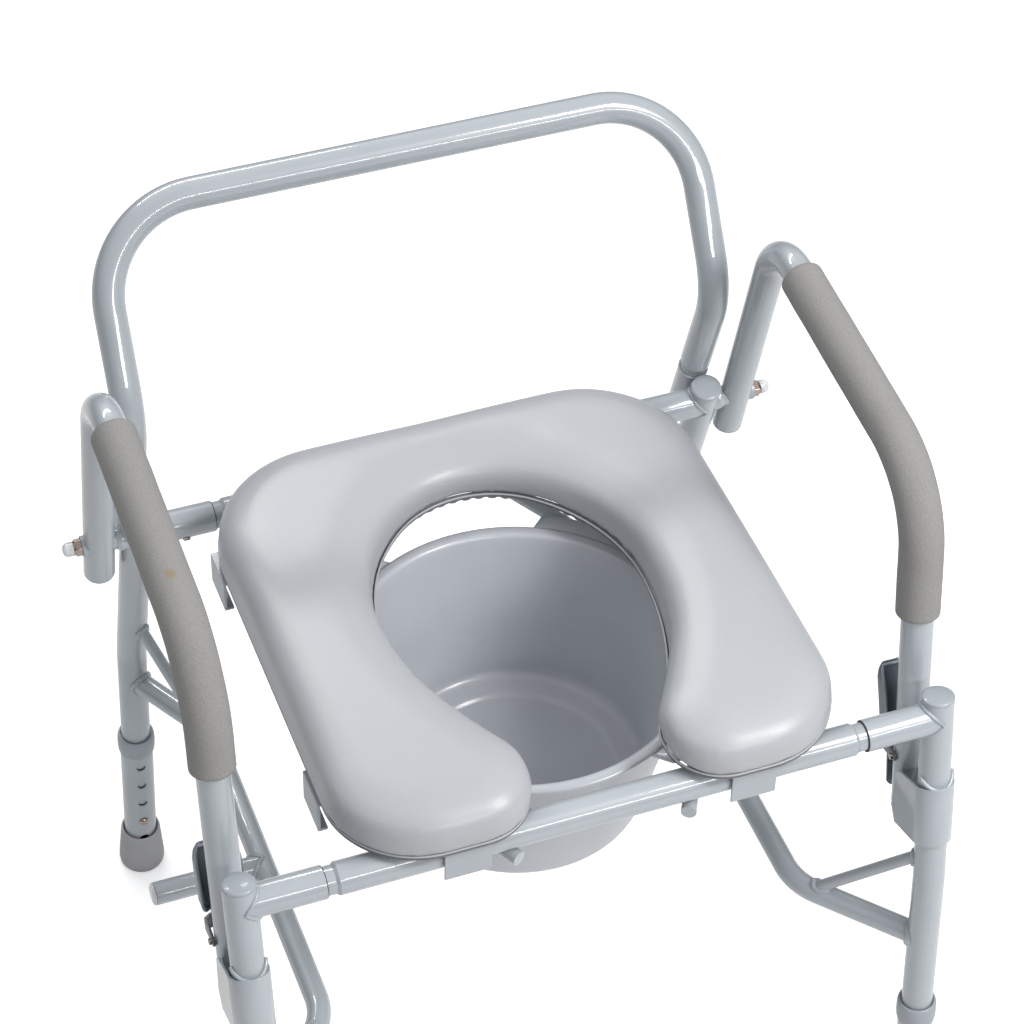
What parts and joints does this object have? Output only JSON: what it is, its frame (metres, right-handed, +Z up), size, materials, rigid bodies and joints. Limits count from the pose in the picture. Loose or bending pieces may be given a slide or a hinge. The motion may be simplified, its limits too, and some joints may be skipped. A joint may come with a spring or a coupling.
{
  "type": "commode chair",
  "caption": "Drop-arm commode chair with open-front padded seat, tubular backrest, removable bucket and height-adjustable legs.",
  "frame": {"origin": "centre of the footprint box at floor level", "axes": "+Z up, +Y towards the backrest, +X towards the viewer's right when the chair is seen from its open front"},
  "size_m": [0.6098, 0.5582, 0.7687],
  "materials": {
    "frame_paint": "blue-grey powder coat, semi gloss",
    "cap_plastic": "moulded, satin",
    "bright_hardware": "bright plated",
    "spring_steel": "drawn wire",
    "dark_plastic": "dark slate, satin",
    "foam_sleeve": "closed-cell foam, speckled matt",
    "clear_plastic": "clear moulded",
    "collar_plastic": "satin",
    "tip_rubber": "grey matt rubber",
    "pad_skin": "fine-grained skin, satin",
    "board_plastic": "moulded",
    "clip_plastic": "moulded",
    "bucket_plastic": "moulded polypropylene, satin"
  },
  "bodies": {
    "frame": {"front_leg_left": "frame_paint", "front_leg_right": "frame_paint", "rear_leg_left": "frame_paint", "rear_leg_right": "frame_paint", "leg_top_caps": "cap_plastic", "front_bar_sockets": "frame_paint", "rear_bar_sockets": "frame_paint", "front_crossbar": "frame_paint", "rear_crossbar": "frame_paint", "side_brace_left": "frame_paint", "side_brace_right": "frame_paint", "arm_rest_stubs": "frame_paint", "gusset_rods": "frame_paint", "latch_brackets": "frame_paint", "keeper_blocks": "dark_plastic", "backrest_sockets": "frame_paint", "pivot_bosses": "frame_paint", "pivot_bolts": "bright_hardware", "pivot_nuts": "bright_hardware", "nut_dome_caps": "clear_plastic", "bucket_support_rods": "frame_paint", "crossbar_screws": "bright_hardware"},
    "backrest": {"backrest_tube": "frame_paint", "backrest_buttons": "bright_hardware"},
    "seat": {"seat_pad": "pad_skin", "seat_board": "board_plastic", "seat_clips": "clip_plastic"},
    "bucket": {"bucket": "bucket_plastic"},
    "arm_left": {"arm_tube_left": "frame_paint", "arm_foam_left": "foam_sleeve", "arm_end_caps_left": "cap_plastic", "arm_saddles_left": "cap_plastic", "lever_pin_left": "bright_hardware", "plunger_spring_left": "spring_steel"},
    "lever_left": {"release_lever_left": "dark_plastic"},
    "plunger_left": {"latch_plunger_left": "bright_hardware"},
    "arm_right": {"arm_tube_right": "frame_paint", "arm_foam_right": "foam_sleeve", "arm_end_caps_right": "cap_plastic", "arm_saddles_right": "cap_plastic", "lever_pin_right": "bright_hardware", "plunger_spring_right": "spring_steel"},
    "lever_right": {"release_lever_right": "dark_plastic"},
    "plunger_right": {"latch_plunger_right": "bright_hardware"},
    "extension_front_left": {"leg_extension_front_left": "frame_paint", "leg_collar_front_left": "collar_plastic", "foot_tip_front_left": "tip_rubber"},
    "button_front_left": {"leg_button_front_left": "bright_hardware"},
    "extension_front_right": {"leg_extension_front_right": "frame_paint", "leg_collar_front_right": "collar_plastic", "foot_tip_front_right": "tip_rubber"},
    "button_front_right": {"leg_button_front_right": "bright_hardware"},
    "extension_rear_left": {"leg_extension_rear_left": "frame_paint", "leg_collar_rear_left": "collar_plastic", "foot_tip_rear_left": "tip_rubber"},
    "button_rear_left": {"leg_button_rear_left": "bright_hardware"},
    "extension_rear_right": {"leg_extension_rear_right": "frame_paint", "leg_collar_rear_right": "collar_plastic", "foot_tip_rear_right": "tip_rubber"},
    "button_rear_right": {"leg_button_rear_right": "bright_hardware"}
  },
  "joints": [
    {"name": "arm_drop_left", "type": "hinge", "parent": "frame", "child": "arm_left", "pos_m": [-0.2752, 0.17925, 0.4867], "axis": [1, 0, 0], "range_deg": [0, 85.5]},
    {"name": "lever_squeeze_left", "type": "hinge", "parent": "arm_left", "child": "lever_left", "pos_m": [-0.2752, -0.17947, 0.414], "axis": [1, 0, 0], "range_deg": [0, 8]},
    {"name": "latch_pull_left", "type": "slide", "parent": "arm_left", "child": "plunger_left", "axis": [0, 0.9898, -0.1427], "range_m": [0, 0.0044], "deforming": ["plunger_spring_left"]},
    {"name": "arm_drop_right", "type": "hinge", "parent": "frame", "child": "arm_right", "pos_m": [0.2752, 0.17925, 0.4867], "axis": [1, 0, 0], "range_deg": [0, 85.5]},
    {"name": "lever_squeeze_right", "type": "hinge", "parent": "arm_right", "child": "lever_right", "pos_m": [0.2752, -0.17947, 0.414], "axis": [1, 0, 0], "range_deg": [0, 8]},
    {"name": "latch_pull_right", "type": "slide", "parent": "arm_right", "child": "plunger_right", "axis": [0, 0.9898, -0.1427], "range_m": [0, 0.0044], "deforming": ["plunger_spring_right"]},
    {"name": "leg_height_front_left", "type": "slide", "parent": "frame", "child": "extension_front_left", "axis": [-0.014, -0.0698, -0.9975], "range_m": [-0.0254, 0.0762], "deforming": ["leg_button_front_left"]},
    {"name": "button_press_front_left", "type": "slide", "parent": "frame", "child": "button_front_left", "axis": [-0.001, 0.9976, -0.0698], "range_m": [0, 0.0035], "deforming": ["leg_button_front_left"]},
    {"name": "leg_height_front_right", "type": "slide", "parent": "frame", "child": "extension_front_right", "axis": [0.014, -0.0698, -0.9975], "range_m": [-0.0254, 0.0762], "deforming": ["leg_button_front_right"]},
    {"name": "button_press_front_right", "type": "slide", "parent": "frame", "child": "button_front_right", "axis": [0.001, 0.9976, -0.0698], "range_m": [0, 0.0035], "deforming": ["leg_button_front_right"]},
    {"name": "leg_height_rear_left", "type": "slide", "parent": "frame", "child": "extension_rear_left", "axis": [-0.014, 0.0698, -0.9975], "range_m": [-0.0254, 0.0762], "deforming": ["leg_button_rear_left"]},
    {"name": "button_press_rear_left", "type": "slide", "parent": "frame", "child": "button_rear_left", "axis": [0.001, 0.9976, 0.0698], "range_m": [0, 0.0035], "deforming": ["leg_button_rear_left"]},
    {"name": "leg_height_rear_right", "type": "slide", "parent": "frame", "child": "extension_rear_right", "axis": [0.014, 0.0698, -0.9975], "range_m": [-0.0254, 0.0762], "deforming": ["leg_button_rear_right"]},
    {"name": "button_press_rear_right", "type": "slide", "parent": "frame", "child": "button_rear_right", "axis": [-0.001, 0.9976, 0.0698], "range_m": [0, 0.0035], "deforming": ["leg_button_rear_right"]},
    {"name": "seat_flip", "type": "hinge", "parent": "frame", "child": "seat", "pos_m": [0, 0.17925, 0.4867], "axis": [1, 0, 0], "range_deg": [-85, 0]},
    {"name": "bucket_lift", "type": "slide", "parent": "frame", "child": "bucket", "axis": [0, 0, 1], "range_m": [0, 0.018]},
    {"name": "backrest_lift", "type": "slide", "parent": "frame", "child": "backrest", "axis": [0, -0.2999, 0.954], "range_m": [0, 0.06], "deforming": ["backrest_buttons"]}
  ],
  "couplings": [
    {"joint": "latch_pull_left", "follows": "lever_squeeze_left", "m_per_rad": 0.0305},
    {"joint": "latch_pull_right", "follows": "lever_squeeze_right", "m_per_rad": 0.0305}
  ]
}
